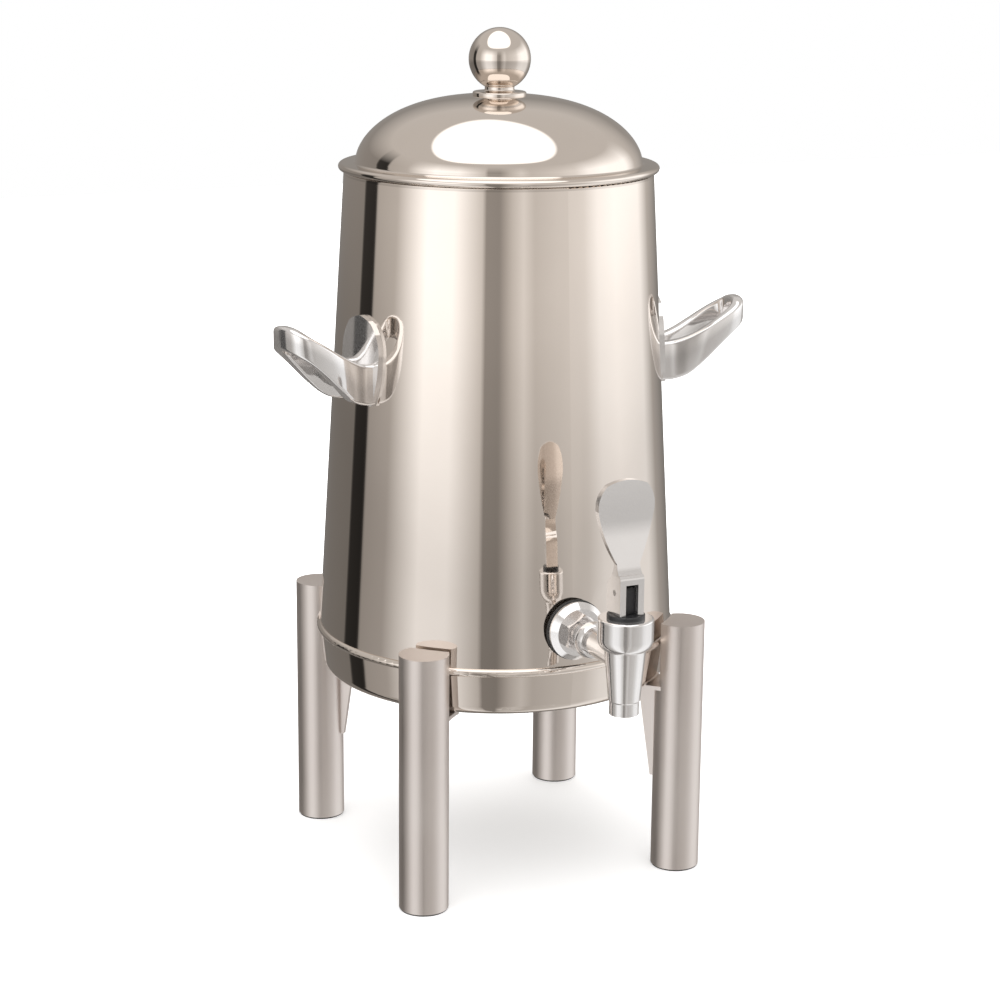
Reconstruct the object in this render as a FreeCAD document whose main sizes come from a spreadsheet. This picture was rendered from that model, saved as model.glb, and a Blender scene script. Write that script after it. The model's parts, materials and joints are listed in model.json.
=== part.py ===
"""Insulated coffee urn on four notched legs: lift-off domed lid, two loop handles, one lever tap.

The urn stands on z = 0. The tap points towards -Y. The urn's own axis is moved along +Y by
axis_offset, so that the origin lies under the middle of the whole object.
Outboard pieces are drawn along local +X and then turned about the urn's axis.
"""
import FreeCAD, Part
import math
import os
import re

import Sketcher

doc = FreeCAD.newDocument("CoffeeUrn")
sheet = doc.addObject("Spreadsheet::Sheet", "Sizes")
UP = FreeCAD.Vector(0, 0, 1)
aliases = []
values = {}
nodes = []


def size(name, value):
    """Write one size in the sheet: a number, or a formula of sizes written before it."""
    row = len(aliases) + 1
    sheet.set("A%d" % row, name)
    sheet.set("B%d" % row, str(value))
    sheet.setAlias("B%d" % row, name)
    aliases.append(name)


# Sizes, in millimetres and degrees: numbers, and formulas of sizes written before them
before = set(vars()) | {"before"}

# How far the outline of a cut runs past the piece that it cuts
cut_margin = 5.0

# Stand height, legs and brackets
base_height = 142.0
leg_height = 190.0
leg_radius = 17.75
leg_wall = 2.0
leg_circle = 144.5
leg_spread = 45.0
notch_clearance = 0.5
cap_head = 2.5
cap_depth = 8.0
cap_fit = 0.05
glide_height = 1.2
glide_depth = 9.0
glide_lip = 0.8
bracket_thickness = 4.0
bracket_drop = 71.0
bracket_reach = 13.0
bracket_foot = 2.5
tab_thickness = 3.0
tab_length = 24.0
tab_width = 30.0
screw_radius = 2.5
screw_head_radius = 4.6
screw_head_height = 2.6
screw_spacing = 18.0
screw_inset = 15.0
screw_length = 8.0

# Double-walled body
bead_radius = 134.0
bead_height = 174.6
bead_section = 3.0
sheet_wall = 1.0
base_wall = 1.2
base_foot_radius = 128.6
base_corner = 7.0
base_flange = 24.0
plate_thickness = 2.0
shell_bottom_radius = 131.4
shell_top_radius = 111.7
shell_top = 509.5
vacuum_gap = 8.0
vessel_floor = 184.0
vessel_corner = 10.0
outer_floor_gap = 8.0
outer_bottom_lap = 8.0
outer_bottom_slope = 12.0
tip_radius = 4.0
tip_length = 9.0
mouth_thickness = 2.5
mouth_round = 1.0
shell_bottom = "=bead_height + bead_section"
cone_slope = "=(shell_bottom_radius - shell_top_radius) / (shell_top - shell_bottom)"
inner_step = "=sheet_wall + vacuum_gap"
mouth_radius = "=shell_top_radius - inner_step - sheet_wall"
rim_height = "=shell_top + mouth_thickness"

# Lid
lid_gap = 0.3
gasket_width = 6.0
brim_radius = 115.5
brim_roll = 2.6
dome_radius = 104.0
dome_height = 47.5
dome_shoulder = 38.0
dome_wall = 1.2
dome_fillet = 2.0
liner_wall = 1.0
liner_depth = 14.0
liner_fit = 1.2
liner_corner = 4.0
finial_screw_radius = 3.0
finial_base_radius = 19.3
finial_base_height = 3.2
finial_edge = 1.5
finial_cove = 2.0
finial_neck_radius = 10.6
finial_neck_height = 3.2
ball_radius = 22.2
finial_nut_radius = 8.0
finial_nut_height = 4.0
finial_nut_edge = 1.0
gasket_thickness = "=2 * brim_roll - liner_wall - dome_wall"
gasket_top = "=rim_height + lid_gap + gasket_thickness"
brim_under = "=gasket_top + liner_wall"
brim_top = "=brim_under + dome_wall"
shoulder_x = "=dome_radius - dome_shoulder"
dome_top_radius = "=(shoulder_x^2 + dome_height^2 - dome_shoulder^2) / (2 * (dome_height - dome_shoulder))"
dome_apex = "=brim_top + dome_height"
dome_centre = "=dome_apex - dome_top_radius"
shoulder_lift = "=brim_top - dome_centre"
shoulder_span = "=dome_top_radius - dome_shoulder"
neck_top = "=dome_apex + finial_base_height + finial_neck_height"
ball_centre = "=neck_top + sqrt(ball_radius^2 - finial_neck_radius^2)"

# Handles
handle_turn = 78.0
handle_base = 356.0
plate_height = 62.0
plate_half_width = 22.5
plate_foot_half = 17.5
plate_shoulder_half = 13.0
plate_arch_rise = 4.5
plate_sweep = 24.0
plate_side_bend = 87.0
plate_shoulder_bend = 31.0
plate_arch_bend = 36.0
escutcheon_thickness = 4.0
loop_reach = 55.0
loop_half_width = 29.0
loop_end_half = 16.0
loop_root_half = 20.0
loop_band = 10.0
loop_root_height = 27.0
loop_flat = 12.0
loop_tip_low = 33.0
loop_tip_high = 53.0
loop_waist = 20.0
loop_knee = 21.0
loop_gap_start = 4.0
loop_gap_half = 12.0
loop_end_band = 9.0
loop_tip_lean = 2.0
loop_tip_back = 3.0
loop_tip_round = 6.0
loop_top_flat = 17.0
loop_under_bend = 88.0
loop_tip_bend = 55.0
loop_over_bend = 66.0

# Tap
tap_height = 204.0
spout_reach = 208.0
sleeve_radius = 14.0
sleeve_wall = 3.0
sleeve_inside = 3.0
thread_fit = 0.08
collar_radius = 21.0
collar_thickness = 7.0
collar_bevel = 4.0
collar_stand_off = 0.3
gasket_pad = 2.5
gasket_proud = 0.6
lock_nut_width = 26.0
lock_nut_thickness = 8.5
shank_radius = 9.5
shank_bore = 6.0
shank_bevel = 1.0
shank_inside = 13.0
joint_reach = 160.0
coupling_radius = 13.5
coupling_half = 5.5
coupling_drop = 2.0
inner_washer_radius = 15.0
inner_washer_thickness = 3.0
inner_nut_width = 28.0
inner_nut_thickness = 7.0
spout_bottom = 166.0
lip_radius = 10.2
lip_height = 9.0
lip_step = 0.8
lip_ease = 1.0
cone_radius = 14.2
barrel_bottom = 214.0
barrel_radius = 19.2
barrel_top = 234.0
barrel_round = 5.5
barrel_under_bend = 9.6
barrel_edge = 1.5
spout_bore = 6.5
seat_height = 193.0
chamber_radius = 10.0
bonnet_radius = 13.0
bonnet_head = 3.0
bonnet_plug_radius = 11.0
bonnet_plug = 8.0
bonnet_recess = 2.0
bonnet_edge = 1.0
stem_radius = 3.0
stem_fit = 0.05
stem_head_width = 8.6
cup_radius = 8.2
cup_height = 11.0
cup_floor = 2.5
cup_land = 3.0
cup_taper = 1.0
spring_wire = 1.2
spring_radius = 5.4
spring_turns = 5.0
pin_radius = 2.0
pin_height = 252.0
lever_foot = 8.4
lever_heel = 11.0
lever_half_width = 9.0
lever_slot = 9.2
lever_clearance = 0.3
slot_roof = 6.5
slot_back = 7.0
lever_shoulder = 265.0
lever_round = 3.0
heel_slope = 4.0
heel_drop = 10.0
heel_bend = 8.0
cheek_ease = 1.0
neck_bend = 14.0
neck_side_bend = 120.0
paddle_top = 329.0
paddle_wide_height = 308.0
paddle_half_width = 21.0
paddle_neck_half = 8.6
paddle_neck_height = 272.0
paddle_thickness = 4.6
paddle_lean = 3.0
paddle_front_bend = 160.0
paddle_back_bend = 140.0
paddle_corner_inset = 6.0
paddle_crown = 3.5
paddle_corner_bend = 22.0
paddle_top_bend = 40.0
wall_at_tap = "=shell_bottom_radius - cone_slope * (tap_height - shell_bottom)"
sleeve_outer_end = "=wall_at_tap + cone_slope * collar_radius + collar_stand_off"
sleeve_inner_end = "=wall_at_tap - inner_step - sheet_wall - sleeve_inside"
collar_start = "=sleeve_outer_end + gasket_pad"
lock_start = "=collar_start + collar_thickness"
shank_start = "=sleeve_inner_end - shank_inside"
bonnet_top = "=barrel_top + bonnet_head"
tap_front = "=spout_reach + barrel_radius"
axis_offset = "=(tap_front - bead_radius) / 2"

for alias, amount in list(vars().items()):
    if alias not in before:
        size(alias, amount)

doc.recompute()


def formula(text):
    """The text with each size's name pointed at the sheet."""
    return re.sub(r"[a-z][a-z_]*", lambda word: "Sizes." + word.group(0) if word.group(0) in aliases
                  else word.group(0), text)


def number(text):
    """The present value of a formula, worked out in a spare cell of the sheet."""
    if text not in values:
        sheet.set("D1", "=" + text)
        sheet.recompute()
        value = sheet.get("D1")
        values[text] = float(getattr(value, "Value", value))
    return values[text]


def bind(piece, prop, text):
    """Tie a property to a formula of sizes."""
    piece.setExpression(prop, formula(text))


def seat(piece, label, out="0", up="0", turn=None):
    """Name a finished sub-part and set it in the urn.

    out is the distance from the urn's axis towards the tap, for pieces drawn round their own
    upright axis. turn is the angle from the tap about the urn's axis, for pieces drawn along
    local +X.
    """
    piece.Label = label
    bind(piece, "Placement.Base.y", "axis_offset - (%s)" % out)
    bind(piece, "Placement.Base.z", up)
    if turn is not None:
        piece.Placement.Rotation = FreeCAD.Rotation(UP, number(turn) - 90.0)
        bind(piece, "Placement.Rotation.Angle", "%s - 90" % turn)
    nodes.append(piece)
    return piece


def body(name):
    return doc.addObject("PartDesign::Body", name)


def plane(owner, role):
    """One of the body's own origin planes, such as XZ_Plane."""
    for feature in owner.Origin.OriginFeatures:
        if feature.Role == role:
            return feature
    raise ValueError(role)


def arc_centre(start, end, radius):
    """Centre of the minor arc from start to end. A positive radius bends it to the left."""
    half_x = (end[0] - start[0]) / 2
    half_y = (end[1] - start[1]) / 2
    half = math.hypot(half_x, half_y)
    rise = math.sqrt(max(radius * radius - half * half, 0.0)) / half
    side = 1 if radius > 0 else -1
    return start[0] + half_x - side * half_y * rise, start[1] + half_y + side * half_x * rise


def pin_point(sketch, edge, end, x, y):
    """Hold one end of an edge at the formulas x and y."""
    for kind, axis, text in (("DistanceX", -2, x), ("DistanceY", -1, y)):
        if text == "0":
            sketch.addConstraint(Sketcher.Constraint("PointOnObject", edge, end, axis))
            continue
        index = sketch.addConstraint(Sketcher.Constraint(kind, -1, 1, edge, end, number(text)))
        bind(sketch, "Constraints[%d]" % index, text)


def draw(sketch, corners, arcs=None):
    """Add a closed outline. corners are pairs of formulas; arcs gives the radius of curved edges."""
    arcs = arcs or {}
    points = [(number(x), number(y)) for x, y in corners]
    ends = []
    for index, start in enumerate(points):
        finish = points[(index + 1) % len(points)]
        if index in arcs:
            radius = number(arcs[index])
            centre = arc_centre(start, finish, radius)
            first, last = (start, finish) if radius > 0 else (finish, start)
            angles = [math.atan2(spot[1] - centre[1], spot[0] - centre[0]) for spot in (first, last)]
            circle = Part.Circle(FreeCAD.Vector(centre[0], centre[1], 0), UP, abs(radius))
            edge = sketch.addGeometry(Part.ArcOfCircle(circle, angles[0], angles[1]))
            ends.append((edge, 1, 2) if radius > 0 else (edge, 2, 1))
        else:
            edge = sketch.addGeometry(Part.LineSegment(FreeCAD.Vector(start[0], start[1], 0),
                                                       FreeCAD.Vector(finish[0], finish[1], 0)))
            ends.append((edge, 1, 2))
    for index, (edge, begin, end) in enumerate(ends):
        following = ends[(index + 1) % len(ends)]
        sketch.addConstraint(Sketcher.Constraint("Coincident", edge, end, following[0], following[1]))
        pin_point(sketch, edge, begin, corners[index][0], corners[index][1])
        if index in arcs:
            radius = sketch.addConstraint(Sketcher.Constraint("Radius", edge, abs(number(arcs[index]))))
            bind(sketch, "Constraints[%d]" % radius, "abs(%s)" % arcs[index])


def draw_circle(sketch, x, y, radius):
    edge = sketch.addGeometry(Part.Circle(FreeCAD.Vector(number(x), number(y), 0), UP, number(radius)))
    pin_point(sketch, edge, 3, x, y)
    index = sketch.addConstraint(Sketcher.Constraint("Radius", edge, number(radius)))
    bind(sketch, "Constraints[%d]" % index, radius)


def draw_hexagon(sketch, flats):
    """Regular hexagon round the sketch's origin, with corners up and down."""
    across = "(%s) / sqrt(3)" % flats
    corners = [("(%s) / 2 * %d" % (flats, side), "%s * %s" % (across, rise))
               for side, rise in ((1, "0.5"), (1, "-0.5"), (-1, "-0.5"), (-1, "0.5"))]
    draw(sketch, [("0", across), corners[0], corners[1], ("0", "-" + across), corners[2], corners[3]])


def sketch_on(owner, role):
    sketch = owner.newObject("Sketcher::SketchObject", owner.Name + "_sketch")
    sketch.AttachmentSupport = [(plane(owner, role), "")]
    sketch.MapMode = "FlatFace"
    return sketch


def offset_sketch(sketch, height):
    """Move a sketch off its plane, along the plane's own normal."""
    bind(sketch, "AttachmentOffset.Base.z", height)


def turned(owner, corners, arcs=None, cut=False, axis="V_Axis", sweep=360.0):
    """Revolve a profile drawn in the XZ plane about the upright or the level axis.

    A sweep of less than a full turn lies evenly on both sides of the XZ plane.
    """
    sketch = sketch_on(owner, "XZ_Plane")
    draw(sketch, corners, arcs)
    kind = "PartDesign::Groove" if cut else "PartDesign::Revolution"
    feature = owner.newObject(kind, owner.Name + "_turn")
    feature.Profile = sketch
    feature.ReferenceAxis = (sketch, [axis])
    feature.Angle = sweep
    feature.Midplane = sweep < 360.0
    return feature


def padded(owner, sketch, length, midplane=False, reverse=False):
    feature = owner.newObject("PartDesign::Pad", owner.Name + "_pad")
    feature.Profile = sketch
    bind(feature, "Length", length)
    feature.Midplane = midplane
    feature.Reversed = reverse
    return feature


def cut_through(owner, sketch):
    """Pocket both ways through the whole body."""
    feature = owner.newObject("PartDesign::Pocket", owner.Name + "_cut")
    feature.Profile = sketch
    feature.Type = 1
    feature.Midplane = True
    return feature


# Radii of the conical wall at a height, as formulas

def shell_at(height):
    return "(shell_bottom_radius - cone_slope * ((%s) - shell_bottom))" % height


def shell_inside(height):
    return "(%s - sheet_wall)" % shell_at(height)


def vessel_at(height):
    return "(%s - inner_step)" % shell_at(height)


def vessel_inside(height):
    return "(%s - inner_step - sheet_wall)" % shell_at(height)


def round_hole_outboard(owner, radius, height):
    """Cut a round hole through the side of a revolved wall, towards local +X only."""
    sketch = sketch_on(owner, "YZ_Plane")
    draw_circle(sketch, "0", height, radius)
    feature = owner.newObject("PartDesign::Pocket", owner.Name + "_outlet")
    feature.Profile = sketch
    bind(feature, "Length", "bead_radius + collar_radius")
    feature.Reversed = True
    return feature


def make_outer_shell():
    shell = body("outer_shell")
    turned(shell, [(shell_at("shell_bottom"), "shell_bottom"), (shell_at("shell_top"), "shell_top"),
                   (shell_inside("shell_top"), "shell_top"), (shell_inside("shell_bottom"), "shell_bottom")])
    round_hole_outboard(shell, "sleeve_radius", "tap_height")
    seat(shell, "outer_shell", turn="0")


def make_inner_vessel():
    floor = "vessel_floor"
    under = "(vessel_floor - sheet_wall)"
    bend = "(vessel_floor + vessel_corner)"
    vessel = body("inner_vessel")
    turned(vessel,
           [("0", under), ("(%s - vessel_corner)" % vessel_at(bend), under), (vessel_at(bend), bend),
            (vessel_at("shell_top"), "shell_top"), (vessel_inside("shell_top"), "shell_top"),
            (vessel_inside(bend), bend), ("(%s - vessel_corner)" % vessel_inside(bend), floor),
            ("0", floor)],
           {1: "vessel_corner + sheet_wall", 5: "-(vessel_corner + sheet_wall)"})
    round_hole_outboard(vessel, "sleeve_radius", "tap_height")
    seat(vessel, "inner_vessel", turn="0")


def make_outer_bottom():
    top = "(shell_bottom + outer_bottom_lap)"
    floor = "(vessel_floor - sheet_wall - outer_floor_gap)"
    inside = "(%s + sheet_wall)" % floor
    outer = "(%s - outer_bottom_slope)" % shell_inside("shell_bottom")
    bottom = body("outer_bottom")
    turned(bottom,
           [(shell_inside(top), top), ("(%s - sheet_wall)" % shell_inside(top), top),
            ("(%s - sheet_wall)" % shell_inside("shell_bottom"), "shell_bottom"),
            ("(%s - sheet_wall)" % outer, inside), ("tip_radius", inside), ("0", inside),
            ("0", "(%s - tip_length)" % floor),
            ("tip_radius / 2", "(%s - tip_length)" % floor), ("tip_radius", "(%s - tip_length / 2)" % floor),
            ("tip_radius", floor), (outer, floor), (shell_inside("shell_bottom"), "shell_bottom")])
    seat(bottom, "outer_bottom")


def make_mouth_ring():
    ring = body("mouth_ring")
    turned(ring,
           [("mouth_radius", "shell_top"), ("shell_top_radius", "shell_top"),
            ("shell_top_radius", "rim_height - mouth_round"),
            ("shell_top_radius - mouth_round", "rim_height"),
            ("mouth_radius + mouth_round", "rim_height"), ("mouth_radius", "rim_height - mouth_round")],
           {2: "mouth_round", 4: "mouth_round"})
    seat(ring, "mouth_ring")


def make_base_ring():
    """Spun skirt: a solid rolled bead above, a rounded lower corner and an inward flange."""
    bead_x = "(bead_radius - bead_section)"
    wall_top = "(bead_height - bead_section)"
    inner_corner = "(base_corner - base_wall)"
    ring = body("base_ring")
    turned(ring,
           [(bead_x, "shell_bottom"), ("(%s - bead_section)" % bead_x, "bead_height"),
            ("(%s - base_wall)" % bead_x, wall_top),
            ("base_foot_radius - base_wall", "base_height + base_corner"),
            ("base_foot_radius - base_corner", "base_height + base_wall"),
            ("base_foot_radius - base_flange", "base_height + base_wall"),
            ("base_foot_radius - base_flange", "base_height"),
            ("base_foot_radius - base_corner", "base_height"),
            ("base_foot_radius", "base_height + base_corner"), (bead_x, wall_top),
            ("bead_radius", "bead_height")],
           {0: "bead_section", 3: "-" + inner_corner, 7: "base_corner", 9: "bead_section",
            10: "bead_section"})
    for sign in (1, -1):
        for side in (1, -1):
            screw_holes(ring, "%d * leg_spread" % sign, "base_height", side)
            screw_holes(ring, "180 + %d * leg_spread" % sign, "base_height", side)
    seat(ring, "base_ring", turn="0")


def screw_place(turn, side):
    """Formulas of one bracket screw's centre, in the frame whose +X points at the tap."""
    reach = "(leg_circle - leg_radius - screw_inset)"
    across = "(%d * screw_spacing / 2)" % side
    x = "%s * cos(%s) - %s * sin(%s)" % (reach, turn, across, turn)
    y = "%s * sin(%s) + %s * cos(%s)" % (reach, turn, across, turn)
    return x, y


def screw_holes(owner, turn, height, side):
    sketch = sketch_on(owner, "XY_Plane")
    offset_sketch(sketch, "%s - base_wall" % height)
    draw_circle(sketch, *screw_place(turn, side), "screw_radius")
    feature = owner.newObject("PartDesign::Pocket", owner.Name + "_hole")
    feature.Profile = sketch
    bind(feature, "Length", "base_corner")
    feature.Reversed = True
    return feature


def make_base_plate():
    low = "(base_height + base_wall)"
    plate = body("base_plate")
    sketch = sketch_on(plate, "XY_Plane")
    offset_sketch(sketch, low)
    draw_circle(sketch, "0", "0", "base_foot_radius - base_corner")
    padded(plate, sketch, "plate_thickness")
    for sign in (1, -1):
        for side in (1, -1):
            screw_holes(plate, "%d * leg_spread" % sign, low, side)
            screw_holes(plate, "180 + %d * leg_spread" % sign, low, side)
    seat(plate, "base_plate", turn="0")


def notch(owner):
    """Cut away what the urn's body fills above the ledge, about the urn's axis."""
    reach = "bead_radius + notch_clearance"
    turned(owner, [("0", "base_height"), (reach, "base_height"), (reach, "leg_height + cap_head"),
                   ("0", "leg_height + cap_head")], cut=True)


def make_leg(name, turn):
    tube = body("leg_tube_" + name)
    sketch = sketch_on(tube, "XY_Plane")
    offset_sketch(sketch, "glide_height")
    draw_circle(sketch, "leg_circle", "0", "leg_radius")
    draw_circle(sketch, "leg_circle", "0", "leg_radius - leg_wall")
    padded(tube, sketch, "leg_height - cap_head - glide_height")
    notch(tube)
    seat(tube, "leg_tube_" + name, turn=turn)

    cap = body("leg_cap_" + name)
    sketch = sketch_on(cap, "XY_Plane")
    offset_sketch(sketch, "leg_height - cap_head")
    draw_circle(sketch, "leg_circle", "0", "leg_radius")
    padded(cap, sketch, "cap_head")
    sketch = sketch_on(cap, "XY_Plane")
    offset_sketch(sketch, "base_height - cap_depth")
    draw_circle(sketch, "leg_circle", "0", "leg_radius - leg_wall - cap_fit")
    padded(cap, sketch, "leg_height - cap_head - base_height + cap_depth")
    notch(cap)
    seat(cap, "leg_cap_" + name, turn=turn)

    glide = body("foot_glide_" + name)
    sketch = sketch_on(glide, "XY_Plane")
    draw_circle(sketch, "leg_circle", "0", "leg_radius - glide_lip")
    padded(glide, sketch, "glide_height")
    sketch = sketch_on(glide, "XY_Plane")
    offset_sketch(sketch, "glide_height")
    draw_circle(sketch, "leg_circle", "0", "leg_radius - leg_wall - cap_fit")
    padded(glide, sketch, "glide_depth")
    seat(glide, "foot_glide_" + name, turn=turn)

    make_bracket(name, turn)


def make_bracket(name, turn):
    """Screw tab under the base and a tapering web down the inside of the leg."""
    leg_face = "(leg_circle - leg_radius)"
    tab_low = "(base_height - tab_thickness)"
    low = "(%s - bracket_drop)" % tab_low
    bracket = body("leg_bracket_" + name)
    sketch = sketch_on(bracket, "XZ_Plane")
    draw(sketch, [("leg_circle - leg_radius / 2", low), ("leg_circle - leg_radius / 2", tab_low),
                  ("%s - bracket_reach" % leg_face, tab_low),
                  ("%s - bracket_foot" % leg_face, low)])
    padded(bracket, sketch, "bracket_thickness", midplane=True)
    sketch = sketch_on(bracket, "XY_Plane")
    offset_sketch(sketch, tab_low)
    middle = "%s - tab_length / 2" % leg_face
    draw(sketch, [("leg_circle - leg_radius / 2", "tab_width / 2"), (middle, "tab_width / 2"),
                  ("%s - tab_length" % leg_face, "0"), (middle, "-tab_width / 2"),
                  ("leg_circle - leg_radius / 2", "-tab_width / 2")], {1: "tab_width", 2: "tab_width"})
    padded(bracket, sketch, "tab_thickness")
    sketch = sketch_on(bracket, "XY_Plane")
    draw_circle(sketch, "leg_circle", "0", "leg_radius")
    cut_through(bracket, sketch)
    for side in (1, -1):
        sketch = sketch_on(bracket, "XY_Plane")
        offset_sketch(sketch, tab_low)
        draw_circle(sketch, *screw_place("0", side), "screw_radius")
        cut_through(bracket, sketch)
    seat(bracket, "leg_bracket_" + name, turn=turn)


def make_bracket_screws():
    """Eight pan-head screws through the tabs, the skirt's flange and the base plate."""
    tab_low = number("base_height - tab_thickness")
    head = number("screw_head_height")
    solids = []
    for turn in ("leg_spread", "-leg_spread", "180 + leg_spread", "180 - leg_spread"):
        for side in (1, -1):
            x, y = [number(text) for text in screw_place(turn, side)]
            shaft = Part.makeCylinder(number("screw_radius"), number("screw_length") + head,
                                      FreeCAD.Vector(x, y, tab_low - head))
            disc = Part.makeCylinder(number("screw_head_radius"), head, FreeCAD.Vector(x, y, tab_low - head))
            crown = disc.makeFillet(head / 2, [disc.Edges[2]])
            solids.append(shaft.fuse(crown).removeSplitter())
    screws = doc.addObject("Part::Feature", "bracket_screws")
    screws.Shape = Part.makeCompound(solids)
    seat(screws, "bracket_screws", turn="0")


def make_handle(name, turn):
    """An arched escutcheon that follows the wall, and a rising loop cast on a thick root."""
    front = "(%s + escutcheon_thickness)"
    low = "handle_base"
    high = "(handle_base + plate_height)"
    plate = body("handle_plate_" + name)
    turned(plate, [(shell_at(low), low), (front % shell_at(low), low), (front % shell_at(high), high),
                   (shell_at(high), high)], sweep=number("plate_sweep"))
    wide = "(handle_base + plate_height / 2)"
    shoulder = "(%s - plate_arch_rise)" % high
    under = "(%s - cut_margin)" % low
    over = "(%s + cut_margin)" % high
    for side in ("", "-"):
        edge = "%s(plate_half_width + cut_margin)" % side
        arch = sketch_on(plate, "YZ_Plane")
        draw(arch, [("%splate_foot_half" % side, under), ("%splate_foot_half" % side, low),
                    ("%splate_half_width" % side, wide), ("%splate_shoulder_half" % side, shoulder),
                    ("0", high), ("0", over), (edge, over), (edge, under)],
             {1: "%splate_side_bend" % side, 2: "%splate_shoulder_bend" % side,
              3: "%splate_arch_bend" % side})
        cut_through(plate, arch)
    seat(plate, "handle_plate_" + name, turn=turn)

    root_top = "(handle_base + loop_root_height)"
    start_low = front % shell_at(low)
    start_high = front % shell_at(root_top)
    end = "(%s + loop_reach)" % start_low
    loop = body("handle_loop_" + name)
    sketch = sketch_on(loop, "XZ_Plane")
    draw(sketch, [("%s - escutcheon_thickness" % start_high, low), ("%s + loop_flat" % start_low, low),
                  (end, "handle_base + loop_tip_low"),
                  ("%s + loop_tip_lean" % end, "handle_base + loop_tip_high - loop_tip_round"),
                  ("%s - loop_tip_back" % end, "handle_base + loop_tip_high"),
                  ("%s + loop_top_flat" % start_low, root_top),
                  ("%s - escutcheon_thickness" % start_high, root_top)],
         {1: "loop_under_bend", 2: "loop_tip_bend", 3: "loop_tip_round", 4: "-loop_over_bend"})
    padded(loop, sketch, "loop_half_width * 2", midplane=True)
    waist = "%s + loop_waist" % start_low
    knee = "%s - loop_knee" % end
    inner_end = "%s - loop_end_band" % end
    gap_start = "%s + loop_gap_start" % start_low
    gap = sketch_on(loop, "XY_Plane")
    draw(gap, [(gap_start, "loop_gap_half"), (gap_start, "-loop_gap_half"),
               (waist, "-(loop_half_width - loop_band)"), (knee, "-(loop_half_width - loop_band)"),
               (inner_end, "-(loop_end_half - loop_band / 2)"), (inner_end, "loop_end_half - loop_band / 2"),
               (knee, "loop_half_width - loop_band"), (waist, "loop_half_width - loop_band")])
    cut_through(loop, gap)
    for side in ("", "-"):
        corner = sketch_on(loop, "XY_Plane")
        outside = "%s(loop_half_width + cut_margin)" % side
        beyond = "%s + 2 * cut_margin" % end
        draw(corner, [("%s - 2 * cut_margin" % start_high, "%sloop_root_half" % side),
                      (start_low, "%sloop_root_half" % side),
                      (waist, "%sloop_half_width" % side), (knee, "%sloop_half_width" % side),
                      ("%s + loop_tip_lean" % end, "%sloop_end_half" % side),
                      (beyond, "%sloop_end_half" % side),
                      (beyond, outside), ("%s - 2 * cut_margin" % start_high, outside)])
        cut_through(loop, corner)
    turned(loop, [("0", under), (front % shell_at(under), under), (front % shell_at(over), over), ("0", over)],
           cut=True)
    seat(loop, "handle_loop_" + name, turn=turn)


def level_ring(name, start, end, outer, inner, bevel=None):
    """A ring round the shank's level axis, with an optional bevel on its outboard edge."""
    ring = body(name)
    if bevel:
        corners = [(start, outer), ("%s - %s" % (end, bevel), outer), (end, "%s - %s" % (outer, bevel)),
                   (end, inner), (start, inner)]
    else:
        corners = [(start, outer), (end, outer), (end, inner), (start, inner)]
    turned(ring, corners, axis="H_Axis")
    seat(ring, name, up="tap_height", turn="0")


def hex_nut(name, start, thickness, flats, bore):
    nut = body(name)
    sketch = sketch_on(nut, "YZ_Plane")
    offset_sketch(sketch, start)
    draw_hexagon(sketch, flats)
    draw_circle(sketch, "0", "0", bore)
    padded(nut, sketch, thickness)
    seat(nut, name, up="tap_height", turn="0")


def make_outlet():
    fit = "shank_radius + thread_fit"
    sleeve_bore = "sleeve_radius - sleeve_wall"
    level_ring("outlet_sleeve", "sleeve_inner_end", "sleeve_outer_end", "sleeve_radius", sleeve_bore)
    level_ring("outlet_gasket", "sleeve_outer_end", "collar_start", "collar_radius + gasket_proud", fit)
    level_ring("collar_nut", "collar_start", "lock_start", "collar_radius", fit, bevel="collar_bevel")
    hex_nut("lock_nut", "lock_start", "lock_nut_thickness", "lock_nut_width", fit)
    level_ring("inner_washer", "sleeve_inner_end - inner_washer_thickness", "sleeve_inner_end",
               "inner_washer_radius", fit)
    hex_nut("inner_nut", "sleeve_inner_end - inner_washer_thickness - inner_nut_thickness",
            "inner_nut_thickness", "inner_nut_width", fit)
    level_ring("tap_shank", "shank_start", "joint_reach", "shank_radius", "shank_bore",
               bevel="shank_bevel")
    nut = body("coupling_nut")
    low_rim = "coupling_radius - coupling_drop"
    turned(nut, [("joint_reach - coupling_half", low_rim), ("joint_reach", "coupling_radius"),
                 ("joint_reach + coupling_half", low_rim), ("joint_reach + coupling_half", fit),
                 ("joint_reach - coupling_half", fit)],
           {0: "-coupling_radius", 1: "-coupling_radius"}, axis="H_Axis")
    seat(nut, "coupling_nut", up="tap_height", turn="0")


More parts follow.
